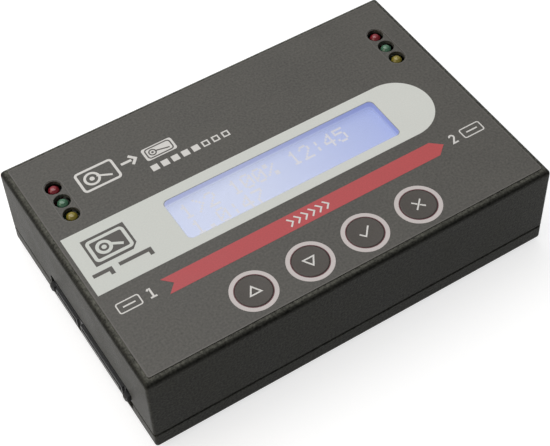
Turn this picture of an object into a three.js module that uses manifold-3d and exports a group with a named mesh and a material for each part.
// A hand-held hard drive duplicator. A five-sided folded steel cover stands on a shallow folded steel
// tray, with two circuit boards stacked between them. The cover carries a printed film, a two-line
// display, four keys and two rows of status lamps. A drive socket opens on the left and on the right.
// Millimetres, +X to the right, +Y to the back, +Z up. The origin is below the middle of the product,
// on the surface that its rubber feet stand on.
import * as THREE from "three";
import { mergeVertices } from "three/addons/utils/BufferGeometryUtils.js";
import Module from "manifold-3d";

// Housing
const HOUSING_WIDTH = 116.5;
const HOUSING_DEPTH = 77.6;
const HOUSING_HEIGHT = 27.3; // underside of the tray to the top of the film
const SHEET = 1; // steel of the cover and of the tray
const COVER_BEND = 1.5; // outside radius of the cover's top bends
const TRAY_BEND = 1.1; // outside radius of the tray's bottom bends
const CORNER_RADIUS = 0.8; // upright corners of both sheets
const CREST_RADIUS = 0.3; // those corners where they run into the flat of the sheet
const TRAY_RIM = 5.1; // height of the tray's turned-up rim
const SEAM = 0.3; // groove between the rim and the cover
const SEAM_EDGE = 0.28; // broken edge of both sheets along the seam

// Clearances
const FIT = 0.3; // round a piece that passes through sheet metal or a board
const SLIDE_FIT = 0.15; // round a key, a plunger and the display lens
const OVERRUN = 1; // how far a cut runs past what it cuts

// Printed film on the cover
const FILM_THICK = 0.25;
const FILM_MARGIN = 1.72; // from the cover's sides to the film's edge
const FILM_CORNER = 0.6;

// Feet
const FOOT_RADIUS = 4;
const FOOT_TAPER = 0.5; // how much less the radius is on the ground
const FOOT_HEIGHT = 1.5;
const FOOT_INSET_X = 18; // from the housing's sides to a foot's axis
const FOOT_INSET_Y = 7.5;

// Locating tabs of the tray, which stand inside the cover
const TAB_WIDTH = 12;
const TAB_HEIGHT = 2; // above the rim
const TAB_X = 24;
const TAB_GAP = 0.2;

// Cover pillars and the screws that hold the tray to them
const PILLAR_RADIUS = 2.8;
const PILLAR_INSET = 5.4; // from the housing's sides to a pillar's axis
const PILLAR_BORE_DEPTH = 7;
const COVER_SCREW_RADIUS = 1.25;
const COVER_SCREW_LENGTH = 6;
const COVER_SCREW_HEAD_RADIUS = 2.6;
const COVER_SCREW_HEAD = 1.1;

// Screws through the two boards
const BOARD_SCREW_RADIUS = 1.2;
const BOARD_SCREW_HEAD_RADIUS = 2.3;
const BOARD_SCREW_HEAD = 1.5;
const BOARD_SCREW_GRIP = 4; // length in the tray's standoff
const BOARD_SCREW_INSET_X = 17; // from the housing's sides to a board screw's axis
const BOARD_SCREW_INSET_FRONT = 8.5;
const BOARD_SCREW_INSET_BACK = 14.5;
const STANDOFF_RADIUS = 2.75;
const CROSS_WIDTH = 0.7; // of a screw's cross recess
const CROSS_LENGTH_SHARE = 1.2; // of the head's radius
const CROSS_DEPTH_SHARE = 0.6; // of the head's height

// Circuit boards
const BOARD_THICK = 1.6;
const BOARD_GAP = 1.5; // from the inside of the housing to a board's edge
const NOTCH_GAP = 0.8; // round what a board's notch clears
const BOARD_REST_GAP = 2.7; // between a drive socket and the tray's floor

// Keys
const KEY_RADIUS = 4.65;
const KEY_PITCH = 15.9;
const KEY_MIDDLE_X = 0.04;
const KEY_INSET = 9.27; // from the housing's front to the keys' axes
const KEY_PROUD = 0.15; // over the film
const KEY_DISH = 0.12; // how much the middle of a key lies under its rim
const KEY_DISH_MIDWAY_SHARE = 0.75; // of the dish's depth that is reached halfway in
const KEY_EDGE = 0.25; // rounding of the rim
const KEY_FLANGE = 1.2; // how far the flange reaches under the sheet
const KEY_FLANGE_THICK = 0.8;
const KEY_TRAVEL = 0.4;
const KEY_NAMES = ["up", "down", "ok", "esc"];

// Push switches below the keys
const TACT_SIDE = 6;
const TACT_BODY = 3.1;
const TACT_PLATE = 0.4;
const TACT_PLATE_INSET = 0.2;
const TACT_RIVET_RADIUS = 0.45;
const TACT_RIVET = 0.2;
const TACT_RIVET_INSET = 1; // from the plate's edges
const TACT_LEG_WIDTH = 0.7;
const TACT_LEG_LENGTH = 1;
const TACT_LEG_THICK = 0.3;
const TACT_LEG_SPACING = 4.5;
const PLUNGER_RADIUS = 1.75;
const PLUNGER_DIP = 0.6; // length of the plunger inside the switch at rest
const WELL_SPARE = 0.2; // room below the pressed plunger

// Display: lens, metal frame, glass and backlight
const WINDOW_WIDTH = 63.1;
const WINDOW_DEPTH = 14.2;
const WINDOW_CORNER = 1.5;
const WINDOW_X = 2.72;
const WINDOW_Y = -0.79;
const LENS_DROP = 0.05; // below the film's top
const LENS_FLANGE = 2.6;
const LENS_FLANGE_THICK = 1;
const FRAME_WIDTH = 71.2;
const FRAME_DEPTH = 25.2;
const FRAME_SHEET = 0.5;
const FRAME_CORNER = 0.6;
const VIEW_MARGIN = 0.7; // of the frame's opening beyond the cover's window
const GLASS_THICK = 1.8;
const BACKLIGHT_THICK = 5;
const TWIST_TAB_LENGTH = 3.5; // lugs that clamp the frame to the board
const TWIST_TAB_REACH = 0.9;
const TWIST_TAB_THICK = 0.5;
const TWIST_TAB_X = 20;

// Status lamps
const LAMP_HOLE_RADIUS = 2.25;
const LAMP_RADIUS = 1.6;
const LAMP_FLANGE_RADIUS = 1.9;
const LAMP_FLANGE = 0.9;
const LAMP_LENGTH = 5.3;
const LAMP_DROP = 0.05; // lamp's tip below the film
const LAMP_PITCH = 5.08;
const LAMP_INSET_X = 9.05; // from the housing's sides to the lamps' axes
const LAMP_INSET_Y = 18.15; // from the housing's back to the middle lamp's axis
const LAMP_SEAT = 0.6;
const LAMP_LEG = 0.5;
const LAMP_LEG_SPACING = 1.6;
const LAMP_BLOCK_WIDTH = 5.2;
const LAMP_BLOCK_CORNER = 0.8;
const LAMP_PANEL_MARGIN = 0.25; // of the sunk panel in the film beyond the lamp holes
const LAMP_PANEL_DEPTH = 0.1;
const LAMP_COLOURS = ["red", "green", "yellow"];

// Drive sockets
const SOCKET_LENGTH = 41.2; // over the two guide posts
const SOCKET_HEIGHT = 5;
const SOCKET_BODY = 9; // length into the housing
const SOCKET_PILLAR_GAP = 3.85; // from the front pillars to the sockets
const SOCKET_NOSE = 0.6; // how far the two noses stand out of the side
const NOSE_WALL = 0.5; // plastic round a slot
const POST_WIDTH = 1.8;
const POST_HEIGHT = 1.9;
const POST_PROUD = 1.2; // beyond the side
const POST_CHAMFER = 0.4;
const DATA_SLOT = 10.6; // length of the seven-way slot
const POWER_SLOT = 20.8; // length of the fifteen-way slot
const SLOT_SPACE = 3; // between the two slots
const SLOT_HEIGHT = 1.4;
const SLOT_DEPTH = 6;
const SLOT_KEY_WIDTH = 1.3; // foot of the L that keys each slot
const SLOT_KEY_HEIGHT = 1;
const SIDE_GAP_ENDS = 1; // between the socket and the ends of its opening
const SIDE_GAP_TOP = 0.85;
const SIDE_GAP_BOTTOM = 1.6;
const SIDE_CORNER = 1.3; // rounding of the opening's upper corners

// Power jack
const JACK_WIDTH = 9;
const JACK_LENGTH = 13.5;
const JACK_HEIGHT = 11;
const JACK_X = 18;
const JACK_AXIS = 6.5; // above the board
const JACK_NOSE_RADIUS = 3.9;
const JACK_BORE_RADIUS = 3.15;
const JACK_BORE_DEPTH = 10;
const JACK_PIN_RADIUS = 1;
const JACK_PIN_DROP = 0.6; // pin's tip behind the nose
const JACK_PIN_TIP = 0.5; // length of its rounded end
const JACK_NOSE_DROP = 0.2; // nose behind the back of the cover

// Power switch
const SWITCH_X = -14;
const SWITCH_Z = 16.8; // above the tray's underside
const SWITCH_LIP = 0.9; // of the bezel beyond the body
const SWITCH_BEZEL = 1.2; // proud of the cover
const SWITCH_BEZEL_CORNER = 1;
const SWITCH_BODY_WIDTH = 13.4;
const SWITCH_BODY_HEIGHT = 8.4;
const SWITCH_BODY_DEPTH = 10; // inside the cover's outer face
const SWITCH_WALL = 0.8;
const ROCKER_TILT = THREE.MathUtils.degToRad(9); // each way from the middle
const PIVOT_DEPTH = 2.2; // behind the bezel's face
const ROCKER_VALLEY = 2.5; // pivot to the middle of the rocker's face
const ROCKER_BELLY = 3; // pivot to the rocker's flat back
const PIVOT_RADIUS = 0.9;
const TERMINAL_WIDTH = 2.8;
const TERMINAL_THICK = 0.8;
const TERMINAL_LENGTH = 4;
const TERMINAL_SPACING = 6.4;
const LEAD_RADIUS = 0.65;
const LEAD_BEND = 1.9; // how far a lead stands in front of its terminal
const LEAD_SHOULDER_SHARE = 0.7; // of that distance, where the lead starts to fall
const LEAD_SAG_SHARE = 0.2;

// Parts soldered to the main board
const HEADER_LENGTH = 25.4;
const HEADER_WIDTH = 5;
const HEADER_X = 4;
const HEADER_INSET = 18.5; // from the housing's front
const HEADER_WAIST = 0.6; // groove where the plug and its socket meet
const CONTROLLER_SIDE = 22;
const CONTROLLER_THICK = 1.6;
const CONTROLLER_X = -21;
const CONTROLLER_Y = -3;
const CHIP_CHAMFER = 1.2;
const MEMORY_WIDTH = 18.4;
const MEMORY_DEPTH = 12;
const MEMORY_THICK = 1.2;
const MEMORY_X = 9;
const MEMORY_Y = -2;
const CRYSTAL_LENGTH = 11;
const CRYSTAL_WIDTH = 4.6;
const CRYSTAL_HEIGHT = 3.5;
const CRYSTAL_X = 8;
const CRYSTAL_Y = 10;
const COIL_SIDE = 10;
const COIL_HEIGHT = 4.5;
const COIL_RADIUS = 3.6;
const COIL_RECESS = 0.5;
const COIL_X = 31;
const COIL_Y = 6;
const CAN_RADIUS = 3.5;
const CAN_HEIGHT = 8.5;
const CAN_X = 4.5;
const CAN_INSET = 8.5; // from the housing's back
const CAN_GROOVE = 0.4;
const CAN_GROOVE_SHARE = 0.16; // groove's height, of the can's height

// Facets
const BEND_STEPS = 4;
const CORNER_STEPS = 3;
const KEY_SIDES = 32;
const LAMP_SIDES = 14;
const ROUND_SIDES = 16;
const SMALL_SIDES = 10;
const LEAD_SIDES = 7;
const LEAD_STEPS = 8;
const HEXAGON_SIDES = 6;
const RIVET_SIDES = 6;
const DOME_STEPS = 3;
const MERGE_DISTANCE = 1e-4;

// Levels, from the ground up and from the film down
const trayUnder = FOOT_HEIGHT;
const trayFloor = trayUnder + SHEET;
const rimTop = trayUnder + TRAY_RIM;
const coverEdge = rimTop + SEAM;
const filmTop = trayUnder + HOUSING_HEIGHT;
const coverTop = filmTop - FILM_THICK;
const coverUnder = coverTop - SHEET;
const mainUnder = trayFloor + BOARD_REST_GAP + SOCKET_HEIGHT;
const mainTop = mainUnder + BOARD_THICK;
const frameTop = coverUnder - LENS_FLANGE_THICK;
const glassTop = frameTop - FRAME_SHEET;
const glassUnder = glassTop - GLASS_THICK;
const panelTop = glassUnder - BACKLIGHT_THICK;
const panelUnder = panelTop - BOARD_THICK;
const spacerHeight = panelUnder - mainTop;

// Plan places shared by several pieces
const insideX = HOUSING_WIDTH / 2 - SHEET;
const insideY = HOUSING_DEPTH / 2 - SHEET;
const boardX = insideX - BOARD_GAP;
const boardY = insideY - BOARD_GAP;
const pillarX = HOUSING_WIDTH / 2 - PILLAR_INSET;
const pillarY = HOUSING_DEPTH / 2 - PILLAR_INSET;
const keyY = KEY_INSET - HOUSING_DEPTH / 2;
const keyXs = KEY_NAMES.map((_, i) => KEY_MIDDLE_X + (i - (KEY_NAMES.length - 1) / 2) * KEY_PITCH);
const lampX = HOUSING_WIDTH / 2 - LAMP_INSET_X;
const lampMiddleY = HOUSING_DEPTH / 2 - LAMP_INSET_Y;
const lampRowHalf = (LAMP_COLOURS.length - 1) / 2;
const lampYs = LAMP_COLOURS.map((_, i) => lampMiddleY + (lampRowHalf - i) * LAMP_PITCH);
const lampBlockLength = (LAMP_COLOURS.length - 1) * LAMP_PITCH + LAMP_BLOCK_WIDTH;
const socketY = PILLAR_RADIUS + SOCKET_PILLAR_GAP + SOCKET_LENGTH / 2 - pillarY;
const switchZ = trayUnder + SWITCH_Z;
const switchBack = HOUSING_DEPTH / 2 - SWITCH_BODY_DEPTH;
const terminalEnd = switchBack - TERMINAL_LENGTH;
const jackBack = insideY - FIT;
const jackFront = jackBack - JACK_LENGTH;
const jackZ = mainTop + JACK_AXIS;
const boardScrewX = HOUSING_WIDTH / 2 - BOARD_SCREW_INSET_X;
const boardScrewFrontY = BOARD_SCREW_INSET_FRONT - HOUSING_DEPTH / 2;
const boardScrewBackY = HOUSING_DEPTH / 2 - BOARD_SCREW_INSET_BACK;
const boardScrewSpots = [
  ["front_left", -boardScrewX, boardScrewFrontY],
  ["front_right", boardScrewX, boardScrewFrontY],
  ["back_left", -boardScrewX, boardScrewBackY],
  ["back_right", boardScrewX, boardScrewBackY],
];
const cornerSpots = (x, y) => [
  ["front_left", -x, -y],
  ["front_right", x, -y],
  ["back_left", -x, y],
  ["back_right", x, y],
];

const finish = (color, roughness, metalness) =>
  new THREE.MeshStandardMaterial({ color, roughness, metalness });
const materials = {
  paintedSteel: finish(0x37352f, 0.55, 0.2),
  film: finish(0x55524c, 0.5, 0),
  key: finish(0x524f4a, 0.5, 0),
  lens: finish(0xdfe6f5, 0.1, 0),
  rubber: finish(0x161616, 0.9, 0),
  blackPlastic: finish(0x1b1b1c, 0.45, 0),
  steel: finish(0xb9bcbf, 0.35, 0.9),
  blackSteel: finish(0x17181a, 0.4, 0.7),
  glass: finish(0x9fb4ef, 0.15, 0),
  backlight: finish(0xf2f4f8, 0.5, 0),
  board: finish(0x1f5a35, 0.5, 0.05),
  brass: finish(0xc2a45a, 0.35, 0.9),
  aluminium: finish(0xc9cacc, 0.35, 0.8),
  ferrite: finish(0x3a3a3c, 0.7, 0.1),
  redLamp: finish(0x9c1c28, 0.15, 0),
  greenLamp: finish(0x2e7d4b, 0.15, 0),
  yellowLamp: finish(0xb39a22, 0.15, 0),
  redLead: finish(0xa3262b, 0.5, 0),
  blackLead: finish(0x1a1a1a, 0.5, 0),
};

const wasm = await Module();
wasm.setup();

// A closed three.js geometry as a solid that can be joined and cut.
function solidFrom(geometry) {
  const bare = geometry.index ? geometry.toNonIndexed() : geometry.clone();
  bare.deleteAttribute("normal");
  bare.deleteAttribute("uv");
  const merged = mergeVertices(bare, MERGE_DISTANCE);
  const vertProperties = merged.getAttribute("position").array;
  const triVerts = new Uint32Array(merged.index.array);
  return new wasm.Manifold(new wasm.Mesh({ numProp: 3, vertProperties, triVerts }));
}

// The solid's triangles as a three.js geometry.
function geometryFrom(solid) {
  const { numProp, numVert, vertProperties, triVerts } = solid.getMesh();
  const positions = new Float32Array(numVert * 3);
  for (let i = 0; i < numVert; i++) {
    positions.set(vertProperties.subarray(i * numProp, i * numProp + 3), i * 3);
  }
  const geometry = new THREE.BufferGeometry();
  geometry.setAttribute("position", new THREE.BufferAttribute(positions, 3));
  geometry.setIndex(new THREE.BufferAttribute(triVerts, 1));
  geometry.computeVertexNormals();
  return geometry;
}

const joined = (first, ...others) => others.reduce((sum, one) => sum.add(one), first);
const cut = (first, ...tools) => tools.reduce((rest, tool) => rest.subtract(tool), first);

// A named piece of the product, with its own frame at (x, y, z).
function piece(name, solid, material, x = 0, y = 0, z = 0) {
  const mesh = new THREE.Mesh(geometryFrom(solid), material);
  mesh.name = name;
  mesh.position.set(x, y, z);
  return mesh;
}

// A rectangular block, centred on (x, y), standing on bottom.
function block(width, depth, height, x = 0, y = 0, bottom = 0) {
  return solidFrom(new THREE.BoxGeometry(width, depth, height).translate(x, y, bottom + height / 2));
}

// A round rod along Z, standing on bottom. topRadius makes it a cone.
function rod(radius, height, x = 0, y = 0, bottom = 0, sides = ROUND_SIDES, topRadius = radius) {
  const geometry = new THREE.CylinderGeometry(topRadius, radius, height, sides).rotateX(Math.PI / 2);
  return solidFrom(geometry.translate(x, y, bottom + height / 2));
}

// A round rod along Y, from y to y + length.
function rodAlongY(radius, length, x, y, z, sides = ROUND_SIDES) {
  const geometry = new THREE.CylinderGeometry(radius, radius, length, sides);
  return solidFrom(geometry.translate(x, y + length / 2, z));
}

function extruded(shape, depth, curveSegments = CORNER_STEPS) {
  return new THREE.ExtrudeGeometry(shape, { depth, bevelEnabled: false, curveSegments });
}

// A flat outline carried up from bottom.
function prism(shape, height, x = 0, y = 0, bottom = 0, curveSegments = CORNER_STEPS) {
  return solidFrom(extruded(shape, height, curveSegments).translate(x, y, bottom));
}

// A rectangle with round corners, as an outline.
function roundedRectangle(width, depth, radius) {
  const x = width / 2 - radius;
  const y = depth / 2 - radius;
  return new THREE.Shape()
    .absarc(x, y, radius, 0, Math.PI / 2)
    .absarc(-x, y, radius, Math.PI / 2, Math.PI)
    .absarc(-x, -y, radius, Math.PI, Math.PI * 1.5)
    .absarc(x, -y, radius, Math.PI * 1.5, Math.PI * 2);
}

// A profile of [radius, height] pairs, listed from the bottom up, turned round the Z axis.
function turned(profile, sides) {
  const points = profile.map(([radius, height]) => new THREE.Vector2(radius, height));
  return solidFrom(new THREE.LatheGeometry(points, sides).rotateX(Math.PI / 2));
}

// Points round a rectangle with round corners, counter-clockwise, at one height.
function roundedRing(width, depth, radius, height) {
  const points = [];
  const quarters = [[1, 1], [-1, 1], [-1, -1], [1, -1]];
  quarters.forEach(([sideX, sideY], quarter) => {
    for (let i = 0; i <= CORNER_STEPS; i++) {
      const angle = ((quarter + i / CORNER_STEPS) * Math.PI) / 2;
      const x = sideX * (width / 2 - radius) + radius * Math.cos(angle);
      const y = sideY * (depth / 2 - radius) + radius * Math.sin(angle);
      points.push(new THREE.Vector3(x, y, height));
    }
  });
  return points;
}

// A skin over rings that all have as many points, listed from the bottom up, closed at both ends.
function loft(rings) {
  const count = rings[0].length;
  const faces = [];
  for (let level = 0; level + 1 < rings.length; level++) {
    for (let i = 0; i < count; i++) {
      const next = (i + 1) % count;
      const [a, b] = [level * count + i, level * count + next];
      faces.push(a, b, b + count, a, b + count, a + count);
    }
  }
  const last = (rings.length - 1) * count;
  for (let i = 1; i + 1 < count; i++) {
    faces.push(0, i + 1, i);
    faces.push(last, last + i, last + i + 1);
  }
  const geometry = new THREE.BufferGeometry().setFromPoints(rings.flat());
  geometry.setIndex(faces);
  return solidFrom(geometry);
}

// The outside or the inside of a folded sheet box: straight sides from openZ, and a bend into the
// flat of the sheet at flatZ, which may lie above or below the open end. The edge at the open end
// is broken by edge.
function foldedForm(width, depth, openZ, flatZ, bend, corner, edge = 0) {
  const up = Math.sign(flatZ - openZ);
  const crest = Math.min(CREST_RADIUS, corner);
  const rings = [roundedRing(width, depth, corner, openZ + up * edge)];
  if (edge > 0) {
    rings.unshift(roundedRing(width - 2 * edge, depth - 2 * edge, corner - edge, openZ));
  }
  for (let i = 0; i <= BEND_STEPS; i++) {
    const angle = (i / BEND_STEPS) * (Math.PI / 2);
    const inset = bend * (1 - Math.cos(angle));
    const height = flatZ - up * bend * (1 - Math.sin(angle));
    const radius = crest + (corner - crest) * Math.cos(angle);
    rings.push(roundedRing(width - 2 * inset, depth - 2 * inset, radius, height));
  }
  return loft(up > 0 ? rings : rings.reverse());
}

// The whole folded sheet box, with its inside one sheet smaller all round.
function foldedBox(openZ, flatZ, bend) {
  const up = Math.sign(flatZ - openZ);
  const [width, depth] = [HOUSING_WIDTH, HOUSING_DEPTH];
  const outside = foldedForm(width, depth, openZ, flatZ, bend, CORNER_RADIUS, SEAM_EDGE);
  const insideOpen = openZ - up * OVERRUN;
  const insideFlat = flatZ - up * SHEET;
  const insideBend = bend - SHEET;
  const inside = foldedForm(2 * insideX, 2 * insideY, insideOpen, insideFlat, insideBend, CREST_RADIUS);
  return cut(outside, inside);
}

// The openings that the drive sockets look out of, one through each side wall.
function sideOpenings() {
  const length = SOCKET_LENGTH + 2 * SIDE_GAP_ENDS;
  const low = mainUnder - SOCKET_HEIGHT - SIDE_GAP_BOTTOM;
  const high = mainUnder + SIDE_GAP_TOP;
  const shape = roundedRectangle(length, high - low, SIDE_CORNER);
  const depth = SHEET + 2 * OVERRUN;
  return [-1, 1].map((side) => {
    const geometry = extruded(shape, depth);
    geometry.rotateX(Math.PI / 2).rotateZ(Math.PI / 2);
    const start = side * (insideX + SHEET / 2) - depth / 2;
    return solidFrom(geometry.translate(start, socketY, (high + low) / 2));
  });
}

// Holes through the film and the cover, all from one list of places.
function windowCut(bottom, height) {
  const shape = roundedRectangle(WINDOW_WIDTH, WINDOW_DEPTH, WINDOW_CORNER);
  return prism(shape, height, WINDOW_X, WINDOW_Y, bottom);
}

function keyAndLampCuts(bottom, height) {
  const keys = keyXs.map((x) => rod(KEY_RADIUS + SLIDE_FIT, height, x, keyY, bottom, KEY_SIDES));
  const lamps = [-lampX, lampX].flatMap((x) =>
    lampYs.map((y) => rod(LAMP_HOLE_RADIUS, height, x, y, bottom, LAMP_SIDES)),
  );
  return [...keys, ...lamps];
}

function topCover() {
  const shell = foldedBox(coverEdge, coverTop, COVER_BEND);
  const pillarHeight = coverUnder + SHEET / 2 - trayFloor;
  const pillars = cornerSpots(pillarX, pillarY).map(([, x, y]) =>
    cut(
      rod(PILLAR_RADIUS, pillarHeight, x, y, trayFloor),
      rod(COVER_SCREW_RADIUS + FIT, PILLAR_BORE_DEPTH + OVERRUN, x, y, trayFloor - OVERRUN, SMALL_SIDES),
    ),
  );
  const through = SHEET + 2 * OVERRUN;
  const jackHole = rodAlongY(JACK_NOSE_RADIUS + FIT, through, JACK_X, insideY - OVERRUN, jackZ);
  const switchHole = block(
    SWITCH_BODY_WIDTH + 2 * SLIDE_FIT,
    through,
    SWITCH_BODY_HEIGHT + 2 * SLIDE_FIT,
    SWITCH_X,
    insideY + SHEET / 2,
    switchZ - SWITCH_BODY_HEIGHT / 2 - SLIDE_FIT,
  );
  const opened = cut(
    shell,
    windowCut(coverUnder - OVERRUN, through),
    ...keyAndLampCuts(coverUnder - OVERRUN, through),
    ...sideOpenings(),
    jackHole,
    switchHole,
  );
  return piece("top_cover", joined(opened, ...pillars), materials.paintedSteel);
}

// The tray's tabs step inwards by one sheet and stand behind the cover's front and back walls.
function trayTab(x, side) {
  const inner = insideY - TAB_GAP - SHEET;
  const rootDepth = insideY + SHEET / 2 - inner;
  const rootY = side * (inner + rootDepth / 2);
  const root = block(TAB_WIDTH, rootDepth, TRAY_RIM - TRAY_BEND, x, rootY, trayUnder + TRAY_BEND);
  const tab = block(TAB_WIDTH, SHEET, TAB_HEIGHT + SHEET, x, side * (inner + SHEET / 2), rimTop - SHEET);
  return joined(root, tab);
}

function basePan() {
  const tray = foldedBox(rimTop, trayUnder, TRAY_BEND);
  const tabs = [-TAB_X, TAB_X].flatMap((x) => [trayTab(x, -1), trayTab(x, 1)]);
  const standoffs = boardScrewSpots.map(([, x, y]) =>
    rod(STANDOFF_RADIUS, mainUnder - trayFloor + SHEET / 2, x, y, trayFloor - SHEET / 2),
  );
  const standoffBores = boardScrewSpots.map(([, x, y]) =>
    rod(BOARD_SCREW_RADIUS + FIT, mainUnder - trayFloor + OVERRUN, x, y, trayFloor, SMALL_SIDES),
  );
  const screwHoles = cornerSpots(pillarX, pillarY).map(([, x, y]) =>
    rod(COVER_SCREW_RADIUS + FIT, SHEET + 2 * OVERRUN, x, y, trayUnder - OVERRUN, SMALL_SIDES),
  );
  const whole = joined(tray, ...tabs, ...standoffs);
  const opened = cut(whole, ...sideOpenings(), ...standoffBores, ...screwHoles);
  return piece("base_pan", opened, materials.paintedSteel);
}

function feet() {
  const x = HOUSING_WIDTH / 2 - FOOT_INSET_X;
  const y = HOUSING_DEPTH / 2 - FOOT_INSET_Y;
  return cornerSpots(x, y).map(([place, footX, footY]) => {
    const foot = rod(FOOT_RADIUS - FOOT_TAPER, FOOT_HEIGHT, 0, 0, 0, ROUND_SIDES, FOOT_RADIUS);
    return piece("foot_" + place, foot, materials.rubber, footX, footY);
  });
}

// A pan-head screw with a cross recess. Its head's seat is at height 0, with the shank along +Z.
function screw(radius, length, headRadius, headHeight) {
  const head = rod(headRadius, headHeight, 0, 0, -headHeight, ROUND_SIDES);
  const shank = rod(radius, length + headHeight / 2, 0, 0, -headHeight / 2, SMALL_SIDES);
  const recess = headHeight * CROSS_DEPTH_SHARE;
  const arm = headRadius * CROSS_LENGTH_SHARE;
  const crossBottom = -headHeight - OVERRUN;
  const along = block(arm, CROSS_WIDTH, recess + OVERRUN, 0, 0, crossBottom);
  const across = block(CROSS_WIDTH, arm, recess + OVERRUN, 0, 0, crossBottom);
  return cut(joined(head, shank), along, across);
}

function coverScrews() {
  const length = SHEET + COVER_SCREW_LENGTH;
  const shape = screw(COVER_SCREW_RADIUS, length, COVER_SCREW_HEAD_RADIUS, COVER_SCREW_HEAD);
  return cornerSpots(pillarX, pillarY).map(([place, x, y]) =>
    piece("cover_screw_" + place, shape, materials.blackSteel, x, y, trayUnder),
  );
}

function boardScrews() {
  const length = BOARD_THICK + spacerHeight + BOARD_THICK + BOARD_SCREW_GRIP;
  const shape = screw(BOARD_SCREW_RADIUS, length, BOARD_SCREW_HEAD_RADIUS, BOARD_SCREW_HEAD);
  return boardScrewSpots.map(([place, x, y]) => {
    const mesh = piece("board_screw_" + place, shape, materials.steel, x, y, panelTop);
    mesh.rotation.x = Math.PI;
    return mesh;
  });
}

function boardSpacers() {
  const tube = cut(
    rod(STANDOFF_RADIUS, spacerHeight, 0, 0, 0, HEXAGON_SIDES),
    rod(BOARD_SCREW_RADIUS + FIT, spacerHeight + 2 * OVERRUN, 0, 0, -OVERRUN, SMALL_SIDES),
  );
  return boardScrewSpots.map(([place, x, y]) =>
    piece("board_spacer_" + place, tube, materials.brass, x, y, mainTop),
  );
}

function graphicFilm() {
  const filmWidth = HOUSING_WIDTH - 2 * FILM_MARGIN;
  const filmDepth = HOUSING_DEPTH - 2 * FILM_MARGIN;
  const sheet = prism(roundedRectangle(filmWidth, filmDepth, FILM_CORNER), FILM_THICK, 0, 0, coverTop);
  const width = 2 * (LAMP_HOLE_RADIUS + LAMP_PANEL_MARGIN);
  const length = (LAMP_COLOURS.length - 1) * LAMP_PITCH + width;
  const sunkShape = roundedRectangle(width, length, width / 2 - MERGE_DISTANCE);
  const sunkFloor = filmTop - LAMP_PANEL_DEPTH;
  const sunkPanels = [-lampX, lampX].map((x) =>
    prism(sunkShape, LAMP_PANEL_DEPTH + OVERRUN, x, lampMiddleY, sunkFloor, LAMP_SIDES / 2),
  );
  const through = FILM_THICK + 2 * OVERRUN;
  const holes = [windowCut(coverTop - OVERRUN, through), ...keyAndLampCuts(coverTop - OVERRUN, through)];
  return piece("graphic_film", cut(sheet, ...holes, ...sunkPanels), materials.film);
}

// The clear lens fills the window, and its flange is glued below the sheet.
function displayLens() {
  const plugTop = filmTop - LENS_DROP;
  const plugShape = roundedRectangle(
    WINDOW_WIDTH - 2 * SLIDE_FIT,
    WINDOW_DEPTH - 2 * SLIDE_FIT,
    WINDOW_CORNER,
  );
  const flangeShape = roundedRectangle(
    WINDOW_WIDTH + 2 * LENS_FLANGE,
    WINDOW_DEPTH + 2 * LENS_FLANGE,
    WINDOW_CORNER,
  );
  const plug = prism(plugShape, plugTop - frameTop, WINDOW_X, WINDOW_Y, frameTop);
  const flange = prism(flangeShape, LENS_FLANGE_THICK, WINDOW_X, WINDOW_Y, frameTop);
  return piece("display_lens", joined(plug, flange), materials.lens);
}

function displayModule() {
  const group = new THREE.Group();
  group.position.set(WINDOW_X, WINDOW_Y, panelTop);
  const height = frameTop - panelTop;
  const outline = roundedRectangle(FRAME_WIDTH, FRAME_DEPTH, FRAME_CORNER);
  const roomWidth = FRAME_WIDTH - 2 * FRAME_SHEET;
  const roomDepth = FRAME_DEPTH - 2 * FRAME_SHEET;
  const room = block(roomWidth, roomDepth, height - FRAME_SHEET + OVERRUN, 0, 0, -OVERRUN);
  const view = block(WINDOW_WIDTH + 2 * VIEW_MARGIN, WINDOW_DEPTH + 2 * VIEW_MARGIN, height + OVERRUN);
  const lugReach = TWIST_TAB_REACH + FRAME_SHEET;
  const lugY = FRAME_DEPTH / 2 + TWIST_TAB_REACH - lugReach / 2;
  const lugs = [-TWIST_TAB_X, TWIST_TAB_X].flatMap((x) =>
    [-1, 1].map((side) => block(TWIST_TAB_LENGTH, lugReach, TWIST_TAB_THICK, x, side * lugY)),
  );
  const frame = joined(cut(prism(outline, height), room, view), ...lugs);
  const insideWidth = roomWidth - 2 * SLIDE_FIT;
  const insideDepth = roomDepth - 2 * SLIDE_FIT;
  const glass = block(insideWidth, insideDepth, GLASS_THICK, 0, 0, BACKLIGHT_THICK);
  group.add(
    piece("display_frame", frame, materials.blackSteel),
    piece("display_glass", glass, materials.glass),
    piece("display_backlight", block(insideWidth, insideDepth, BACKLIGHT_THICK), materials.backlight),
  );
  return group;
}

// A key is a shallow dished cap with a flange that the cover's sheet holds down.
function keys() {
  const flangeTop = coverUnder - SLIDE_FIT;
  const capHeight = filmTop + KEY_PROUD - flangeTop + KEY_FLANGE_THICK;
  const profile = [
    [0, 0],
    [KEY_RADIUS + KEY_FLANGE, 0],
    [KEY_RADIUS + KEY_FLANGE, KEY_FLANGE_THICK],
    [KEY_RADIUS, KEY_FLANGE_THICK],
    [KEY_RADIUS, capHeight - KEY_EDGE],
    [KEY_RADIUS - KEY_EDGE * (1 - Math.SQRT1_2), capHeight - KEY_EDGE * (1 - Math.SQRT1_2)],
    [KEY_RADIUS - KEY_EDGE, capHeight],
    [(KEY_RADIUS - KEY_EDGE) / 2, capHeight - KEY_DISH * KEY_DISH_MIDWAY_SHARE],
    [0, capHeight - KEY_DISH],
  ];
  const cap = turned(profile, KEY_SIDES);
  const bottom = flangeTop - KEY_FLANGE_THICK;
  return KEY_NAMES.map((name, i) => piece("key_" + name, cap, materials.key, keyXs[i], keyY, bottom));
}

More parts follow.
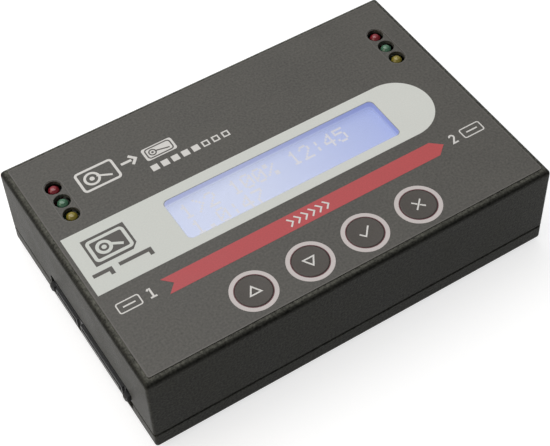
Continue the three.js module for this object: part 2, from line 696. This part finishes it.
// Each push switch has a moulded body, a riveted steel plate, four legs and a well for its plunger.
function pushSwitches() {
  const height = TACT_BODY + TACT_PLATE;
  const plateSide = TACT_SIDE - 2 * TACT_PLATE_INSET;
  const rivetX = plateSide / 2 - TACT_RIVET_INSET;
  const rivets = cornerSpots(rivetX, rivetX).map(([, x, y]) =>
    rod(TACT_RIVET_RADIUS, TACT_PLATE / 2 + TACT_RIVET, x, y, height - TACT_PLATE / 2, RIVET_SIDES),
  );
  const legReach = TACT_SIDE / 2 + TACT_LEG_LENGTH;
  const legs = [-1, 1].map((side) =>
    block(2 * legReach, TACT_LEG_WIDTH, TACT_LEG_THICK, 0, (side * TACT_LEG_SPACING) / 2, 0),
  );
  const body = joined(
    block(TACT_SIDE, TACT_SIDE, TACT_BODY),
    block(plateSide, plateSide, TACT_PLATE, 0, 0, TACT_BODY),
    ...rivets,
    ...legs,
  );
  const wellDepth = PLUNGER_DIP + KEY_TRAVEL + WELL_SPARE;
  const well = rod(PLUNGER_RADIUS + SLIDE_FIT, wellDepth + OVERRUN, 0, 0, height - wellDepth, ROUND_SIDES);
  const shape = cut(body, well);
  const plungerTop = coverUnder - SLIDE_FIT - KEY_FLANGE_THICK;
  const plungerBottom = panelTop + height - PLUNGER_DIP;
  const plunger = rod(PLUNGER_RADIUS, plungerTop - plungerBottom, 0, 0, 0, ROUND_SIDES);
  return KEY_NAMES.flatMap((name, i) => [
    piece("push_switch_" + name, shape, materials.blackPlastic, keyXs[i], keyY, panelTop),
    piece("push_switch_plunger_" + name, plunger, materials.blackPlastic, keyXs[i], keyY, plungerBottom),
  ]);
}

// A lamp is a moulded dome on a flange, with two legs that run through its block to the board.
function lamps() {
  const flangeZ = filmTop - LAMP_DROP - LAMP_LENGTH;
  const dome = [];
  for (let i = 0; i <= DOME_STEPS; i++) {
    const angle = (i / DOME_STEPS) * (Math.PI / 2);
    dome.push([LAMP_RADIUS * Math.cos(angle), LAMP_LENGTH - LAMP_RADIUS * (1 - Math.sin(angle))]);
  }
  dome[DOME_STEPS][0] = 0;
  const profile = [
    [0, 0],
    [LAMP_FLANGE_RADIUS, 0],
    [LAMP_FLANGE_RADIUS, LAMP_FLANGE],
    [LAMP_RADIUS, LAMP_FLANGE],
    ...dome,
  ];
  const legLength = flangeZ - panelTop;
  const legs = [-1, 1].map((side) =>
    block(LAMP_LEG, LAMP_LEG, legLength + LAMP_FLANGE / 2, (side * LAMP_LEG_SPACING) / 2, 0, -legLength),
  );
  const lamp = joined(turned(profile, LAMP_SIDES), ...legs);
  const blockHeight = legLength + LAMP_SEAT;
  const outline = roundedRectangle(LAMP_BLOCK_WIDTH, lampBlockLength, LAMP_BLOCK_CORNER);
  const seats = lampYs.map((y) =>
    rod(LAMP_FLANGE_RADIUS + SLIDE_FIT, LAMP_SEAT + OVERRUN, 0, y - lampMiddleY, legLength, LAMP_SIDES),
  );
  const legHole = LAMP_LEG + 2 * FIT;
  const legHoleX = LAMP_LEG_SPACING / 2;
  const legHoles = lampYs.flatMap((y) =>
    [-legHoleX, legHoleX].map((x) =>
      block(legHole, legHole, legLength + 2 * OVERRUN, x, y - lampMiddleY, -OVERRUN),
    ),
  );
  const holder = cut(prism(outline, blockHeight), ...seats, ...legHoles);
  const colours = { red: materials.redLamp, green: materials.greenLamp, yellow: materials.yellowLamp };
  return [["left", -lampX], ["right", lampX]].flatMap(([side, x]) => [
    piece("lamp_block_" + side, holder, materials.blackPlastic, x, lampMiddleY, panelTop),
    ...LAMP_COLOURS.map((colour, i) =>
      piece("lamp_" + colour + "_" + side, lamp, colours[colour], x, lampYs[i], flangeZ),
    ),
  ]);
}

// Corners cut out of a board so that the cover's pillars pass it.
function pillarNotches(bottom) {
  const width = HOUSING_WIDTH / 2 - (pillarX - PILLAR_RADIUS - NOTCH_GAP);
  const depth = HOUSING_DEPTH / 2 - (pillarY - PILLAR_RADIUS - NOTCH_GAP);
  return cornerSpots(HOUSING_WIDTH / 2 - width / 2, HOUSING_DEPTH / 2 - depth / 2).map(([, x, y]) =>
    block(width, depth, BOARD_THICK + 2 * OVERRUN, x, y, bottom - OVERRUN),
  );
}

function boardScrewHoles(bottom) {
  return boardScrewSpots.map(([, x, y]) =>
    rod(BOARD_SCREW_RADIUS + FIT, BOARD_THICK + 2 * OVERRUN, x, y, bottom - OVERRUN, SMALL_SIDES),
  );
}

function mainBoard() {
  const sheet = block(2 * boardX, 2 * boardY, BOARD_THICK, 0, 0, mainUnder);
  const whole = cut(sheet, ...pillarNotches(mainUnder), ...boardScrewHoles(mainUnder));
  return piece("main_board", whole, materials.board);
}

// The panel board carries the display, the push switches and the lamps. It stops short of the back
// of the housing, with a wide notch that clears the power jack and the power switch.
function panelBoard() {
  const back = lampMiddleY + lampBlockLength / 2 + NOTCH_GAP;
  const sheet = block(2 * boardX, back + boardY, BOARD_THICK, 0, (back - boardY) / 2, panelUnder);
  const left = SWITCH_X - bezelWidth / 2 - NOTCH_GAP;
  const right = JACK_X + JACK_WIDTH / 2 + NOTCH_GAP;
  const front = Math.min(jackFront, terminalEnd - FIT - LEAD_BEND - LEAD_RADIUS) - NOTCH_GAP;
  const depth = back - front + OVERRUN;
  const through = BOARD_THICK + 2 * OVERRUN;
  const middle = (left + right) / 2;
  const notch = block(right - left, depth, through, middle, front + depth / 2, panelUnder - OVERRUN);
  const whole = cut(sheet, notch, ...pillarNotches(panelUnder), ...boardScrewHoles(panelUnder));
  return piece("panel_board", whole, materials.board);
}

// The L-shaped mouth of one slot, as seen from outside the socket.
function slotOutline(length) {
  const half = length / 2;
  const low = -SLOT_HEIGHT / 2;
  const foot = low - SLOT_KEY_HEIGHT;
  return new THREE.Shape([
    new THREE.Vector2(-half, SLOT_HEIGHT / 2),
    new THREE.Vector2(-half, low),
    new THREE.Vector2(half - SLOT_KEY_WIDTH, low),
    new THREE.Vector2(half - SLOT_KEY_WIDTH, foot),
    new THREE.Vector2(half, foot),
    new THREE.Vector2(half, SLOT_HEIGHT / 2),
  ]);
}

// A drive socket that looks along +X. Its frame is on the side of the housing, at the middle of
// its length and at the top of its body, which hangs from the main board.
function socketSolid() {
  const middle = -SOCKET_HEIGHT / 2;
  const bodyLength = SOCKET_LENGTH - 2 * POST_WIDTH;
  const body = block(SOCKET_BODY, bodyLength, SOCKET_HEIGHT, -SOCKET_BODY / 2, 0, -SOCKET_HEIGHT);
  const slotsLength = DATA_SLOT + SLOT_SPACE + POWER_SLOT;
  const dataY = -slotsLength / 2 + DATA_SLOT / 2;
  const powerY = slotsLength / 2 - POWER_SLOT / 2;
  const mouthHeight = SLOT_HEIGHT + SLOT_KEY_HEIGHT;
  const slotLift = SLOT_KEY_HEIGHT / 2;
  const noseHeight = mouthHeight + 2 * NOSE_WALL;
  const noseLength = SOCKET_NOSE + SOCKET_BODY / 2;
  const noseX = SOCKET_NOSE - noseLength / 2;
  const places = [
    [dataY, DATA_SLOT],
    [powerY, POWER_SLOT],
  ];
  const noses = places.map(([y, length]) =>
    block(noseLength, length + 2 * NOSE_WALL, noseHeight, noseX, y, middle - noseHeight / 2),
  );
  const slots = places.map(([y, length]) => {
    const geometry = extruded(slotOutline(length), SLOT_DEPTH + OVERRUN);
    geometry.rotateX(Math.PI / 2).rotateZ(Math.PI / 2);
    return solidFrom(geometry.translate(SOCKET_NOSE - SLOT_DEPTH, y, middle + slotLift));
  });
  const postLength = SOCKET_BODY + POST_PROUD;
  const postY = SOCKET_LENGTH / 2 - POST_WIDTH / 2;
  const tipWidth = POST_WIDTH - 2 * POST_CHAMFER;
  const tipHeight = POST_HEIGHT - 2 * POST_CHAMFER;
  const corners = [
    [1, 1],
    [-1, 1],
    [-1, -1],
    [1, -1],
  ];
  const posts = [-postY, postY].map((y) => {
    const ring = (x, width, height) =>
      corners.map(
        ([sideY, sideZ]) => new THREE.Vector3(x, y + (sideY * width) / 2, middle + (sideZ * height) / 2),
      );
    return loft([
      ring(POST_PROUD - postLength, POST_WIDTH, POST_HEIGHT),
      ring(POST_PROUD - POST_CHAMFER, POST_WIDTH, POST_HEIGHT),
      ring(POST_PROUD, tipWidth, tipHeight),
    ]);
  });
  const earLength = SOCKET_BODY - POST_CHAMFER;
  const earX = earLength / 2 - SOCKET_BODY;
  const earY = postY - NOSE_WALL / 2;
  const ears = [-earY, earY].map((y) =>
    block(earLength, POST_WIDTH + NOSE_WALL, SOCKET_HEIGHT, earX, y, -SOCKET_HEIGHT),
  );
  return cut(joined(body, ...ears, ...posts, ...noses), ...slots);
}

function driveSockets() {
  const shape = socketSolid();
  const socket = (name, x) => piece(name, shape, materials.blackPlastic, x, socketY, mainUnder);
  const target = socket("drive_socket_target", HOUSING_WIDTH / 2);
  const source = socket("drive_socket_source", -HOUSING_WIDTH / 2);
  source.rotation.z = Math.PI;
  return [source, target];
}

function powerJack() {
  const noseEnd = HOUSING_DEPTH / 2 - JACK_NOSE_DROP;
  const body = block(JACK_WIDTH, JACK_LENGTH, JACK_HEIGHT, JACK_X, jackBack - JACK_LENGTH / 2, mainTop);
  const noseStart = jackBack - JACK_WIDTH / 2;
  const nose = rodAlongY(JACK_NOSE_RADIUS, noseEnd - noseStart, JACK_X, noseStart, jackZ);
  const boreEnd = noseEnd - JACK_BORE_DEPTH;
  const bore = rodAlongY(JACK_BORE_RADIUS, JACK_BORE_DEPTH + OVERRUN, JACK_X, boreEnd, jackZ);
  const pinLength = JACK_BORE_DEPTH - JACK_PIN_DROP;
  const pin = turned(
    [
      [0, 0],
      [JACK_PIN_RADIUS, 0],
      [JACK_PIN_RADIUS, pinLength - JACK_PIN_TIP],
      [JACK_PIN_RADIUS / 2, pinLength],
      [0, pinLength],
    ],
    SMALL_SIDES,
  );
  const pinMesh = piece("power_jack_pin", pin, materials.steel, JACK_X, boreEnd, jackZ);
  pinMesh.rotation.x = -Math.PI / 2;
  return [piece("power_jack", cut(joined(body, nose), bore), materials.blackPlastic), pinMesh];
}

const bezelWidth = SWITCH_BODY_WIDTH + 2 * SWITCH_LIP;
const bezelHeight = SWITCH_BODY_HEIGHT + 2 * SWITCH_LIP;
const rockerRadius = SWITCH_BODY_WIDTH / 2 - SWITCH_WALL - FIT;

// The switch's frame is on its rocker's pivot, looking along +Y.
const pivotY = HOUSING_DEPTH / 2 + SWITCH_BEZEL - PIVOT_DEPTH;

// How far the raised end of the rocker stands behind the pivot when the other end is pressed.
const tipAngle = ROCKER_TILT + Math.asin((ROCKER_VALLEY * Math.cos(ROCKER_TILT)) / rockerRadius);
const rockerReach = rockerRadius * Math.sin(tipAngle + ROCKER_TILT);

function switchHousing() {
  const face = PIVOT_DEPTH;
  const wall = PIVOT_DEPTH - SWITCH_BEZEL;
  const back = wall - SWITCH_BODY_DEPTH;
  const outline = roundedRectangle(bezelWidth, bezelHeight, SWITCH_BEZEL_CORNER);
  const rim = extruded(outline, SWITCH_BEZEL).rotateX(-Math.PI / 2);
  const bezel = solidFrom(rim.translate(0, wall, 0));
  const low = -SWITCH_BODY_HEIGHT / 2;
  const bodyEnd = wall + SWITCH_BEZEL / 2;
  const body = block(SWITCH_BODY_WIDTH, bodyEnd - back, SWITCH_BODY_HEIGHT, 0, (bodyEnd + back) / 2, low);
  const roomDepth = rockerRadius + FIT + face;
  const room = block(
    2 * (rockerRadius + FIT),
    roomDepth + OVERRUN,
    SWITCH_BODY_HEIGHT - 2 * SWITCH_WALL,
    0,
    face + OVERRUN - (roomDepth + OVERRUN) / 2,
    low + SWITCH_WALL,
  );
  const bearingLength = SWITCH_BODY_HEIGHT + 2 * OVERRUN;
  const bearing = rod(PIVOT_RADIUS + FIT, bearingLength, 0, 0, low - OVERRUN, SMALL_SIDES);
  const terminalLength = TERMINAL_LENGTH + SWITCH_WALL;
  const terminalY = back + SWITCH_WALL - terminalLength / 2;
  const terminals = [-TERMINAL_SPACING / 2, TERMINAL_SPACING / 2].map((x) =>
    block(TERMINAL_THICK, terminalLength, TERMINAL_WIDTH, x, terminalY, -TERMINAL_WIDTH / 2),
  );
  const shape = joined(cut(joined(bezel, body), room, bearing), ...terminals);
  return piece("switch_housing", shape, materials.blackPlastic, SWITCH_X, pivotY, switchZ);
}

// The rocker is a slice of a cylinder round its pivot, with two flat faces that meet in a valley.
function switchRocker() {
  const height = SWITCH_BODY_HEIGHT - 2 * SWITCH_WALL - 2 * FIT;
  const fromAngle = tipAngle;
  const toAngle = -Math.asin(ROCKER_BELLY / rockerRadius);
  const shape = new THREE.Shape()
    .moveTo(0, ROCKER_VALLEY)
    .lineTo(rockerRadius * Math.cos(fromAngle), rockerRadius * Math.sin(fromAngle))
    .absarc(0, 0, rockerRadius, fromAngle, toAngle, true)
    .absarc(0, 0, rockerRadius, Math.PI - toAngle, Math.PI - fromAngle, true);
  const paddle = prism(shape, height, 0, 0, -height / 2, ROUND_SIDES / 4);
  const stubLength = SWITCH_BODY_HEIGHT - SWITCH_WALL;
  const stubs = rod(PIVOT_RADIUS, stubLength, 0, 0, -stubLength / 2, SMALL_SIDES);
  const whole = joined(paddle, stubs);
  const mesh = piece("switch_rocker", whole, materials.blackPlastic, SWITCH_X, pivotY, switchZ);
  mesh.rotation.z = -ROCKER_TILT;
  return mesh;
}

// Two short leads run from the switch's terminals down to the main board.
function switchLeads() {
  const startY = terminalEnd - FIT;
  const endZ = mainTop + FIT;
  const shoulderY = startY - LEAD_BEND * LEAD_SHOULDER_SHARE;
  const shoulderZ = switchZ - LEAD_BEND * LEAD_SAG_SHARE;
  const path = new THREE.CatmullRomCurve3([
    new THREE.Vector3(0, startY, switchZ),
    new THREE.Vector3(0, shoulderY, shoulderZ),
    new THREE.Vector3(0, startY - LEAD_BEND, switchZ - LEAD_BEND),
    new THREE.Vector3(0, startY - LEAD_BEND, endZ),
  ]);
  const circle = new THREE.Shape().absarc(0, 0, LEAD_RADIUS, 0, Math.PI * 2);
  const geometry = new THREE.ExtrudeGeometry(circle, {
    steps: LEAD_STEPS,
    extrudePath: path,
    curveSegments: LEAD_SIDES,
    bevelEnabled: false,
  });
  const lead = solidFrom(geometry);
  const reach = TERMINAL_SPACING / 2;
  return [
    piece("switch_lead_red", lead, materials.redLead, SWITCH_X - reach),
    piece("switch_lead_black", lead, materials.blackLead, SWITCH_X + reach),
  ];
}

// The board-to-board connector has a groove where its plug and socket meet.
function boardHeader() {
  const strips = block(HEADER_LENGTH, HEADER_WIDTH, spacerHeight);
  const grown = (by) => [HEADER_LENGTH + 2 * by, HEADER_WIDTH + 2 * by, HEADER_WAIST, 0, 0];
  const grooveLow = (spacerHeight - HEADER_WAIST) / 2;
  const groove = cut(block(...grown(OVERRUN), grooveLow), block(...grown(-HEADER_WAIST), grooveLow));
  const y = HEADER_INSET - HOUSING_DEPTH / 2;
  return piece("board_connector", cut(strips, groove), materials.blackPlastic, HEADER_X, y, mainTop);
}

// A square chip with one corner taken off to show its first pin.
function chipOutline(width, depth) {
  const x = width / 2;
  const y = depth / 2;
  return new THREE.Shape([
    new THREE.Vector2(-x, -y),
    new THREE.Vector2(x, -y),
    new THREE.Vector2(x, y),
    new THREE.Vector2(-x + CHIP_CHAMFER, y),
    new THREE.Vector2(-x, y - CHIP_CHAMFER),
  ]);
}

function boardParts() {
  const controller = prism(chipOutline(CONTROLLER_SIDE, CONTROLLER_SIDE), CONTROLLER_THICK);
  const memory = prism(chipOutline(MEMORY_WIDTH, MEMORY_DEPTH), MEMORY_THICK);
  const crystalEnd = CRYSTAL_WIDTH / 2 - MERGE_DISTANCE;
  const crystal = prism(roundedRectangle(CRYSTAL_LENGTH, CRYSTAL_WIDTH, crystalEnd), CRYSTAL_HEIGHT);
  const coilRoom = COIL_SIDE / 2 - COIL_RECESS;
  const coilRecess = cut(
    rod(coilRoom, COIL_RECESS + OVERRUN, 0, 0, COIL_HEIGHT - COIL_RECESS),
    rod(COIL_RADIUS, COIL_HEIGHT + OVERRUN),
  );
  const coil = cut(block(COIL_SIDE, COIL_SIDE, COIL_HEIGHT), coilRecess);
  const groove = CAN_HEIGHT * CAN_GROOVE_SHARE;
  const can = turned(
    [
      [0, 0],
      [CAN_RADIUS, 0],
      [CAN_RADIUS, groove],
      [CAN_RADIUS - CAN_GROOVE, groove + CAN_GROOVE],
      [CAN_RADIUS, groove + 2 * CAN_GROOVE],
      [CAN_RADIUS, CAN_HEIGHT - CAN_GROOVE],
      [CAN_RADIUS - CAN_GROOVE, CAN_HEIGHT],
      [0, CAN_HEIGHT],
    ],
    ROUND_SIDES,
  );
  return [
    piece("controller_chip", controller, materials.blackPlastic, CONTROLLER_X, CONTROLLER_Y, mainTop),
    piece("memory_chip", memory, materials.blackPlastic, MEMORY_X, MEMORY_Y, mainTop),
    piece("clock_crystal", crystal, materials.steel, CRYSTAL_X, CRYSTAL_Y, mainTop),
    piece("power_coil", coil, materials.ferrite, COIL_X, COIL_Y, mainTop),
    piece("power_capacitor", can, materials.aluminium, CAN_X, HOUSING_DEPTH / 2 - CAN_INSET, mainTop),
  ];
}

const duplicator = new THREE.Group();
duplicator.add(topCover(), basePan(), graphicFilm(), displayLens(), displayModule());
duplicator.add(...feet(), ...coverScrews(), ...boardScrews(), ...boardSpacers());
duplicator.add(...keys(), ...pushSwitches(), ...lamps());
duplicator.add(mainBoard(), panelBoard(), ...driveSockets(), ...powerJack());
duplicator.add(switchHousing(), switchRocker(), ...switchLeads(), boardHeader(), ...boardParts());

// The rocker is the only piece behind the back wall, so half its reach centres the whole product.
const backReach = pivotY + rockerReach - HOUSING_DEPTH / 2;
duplicator.position.y = -backReach / 2;

export default duplicator;
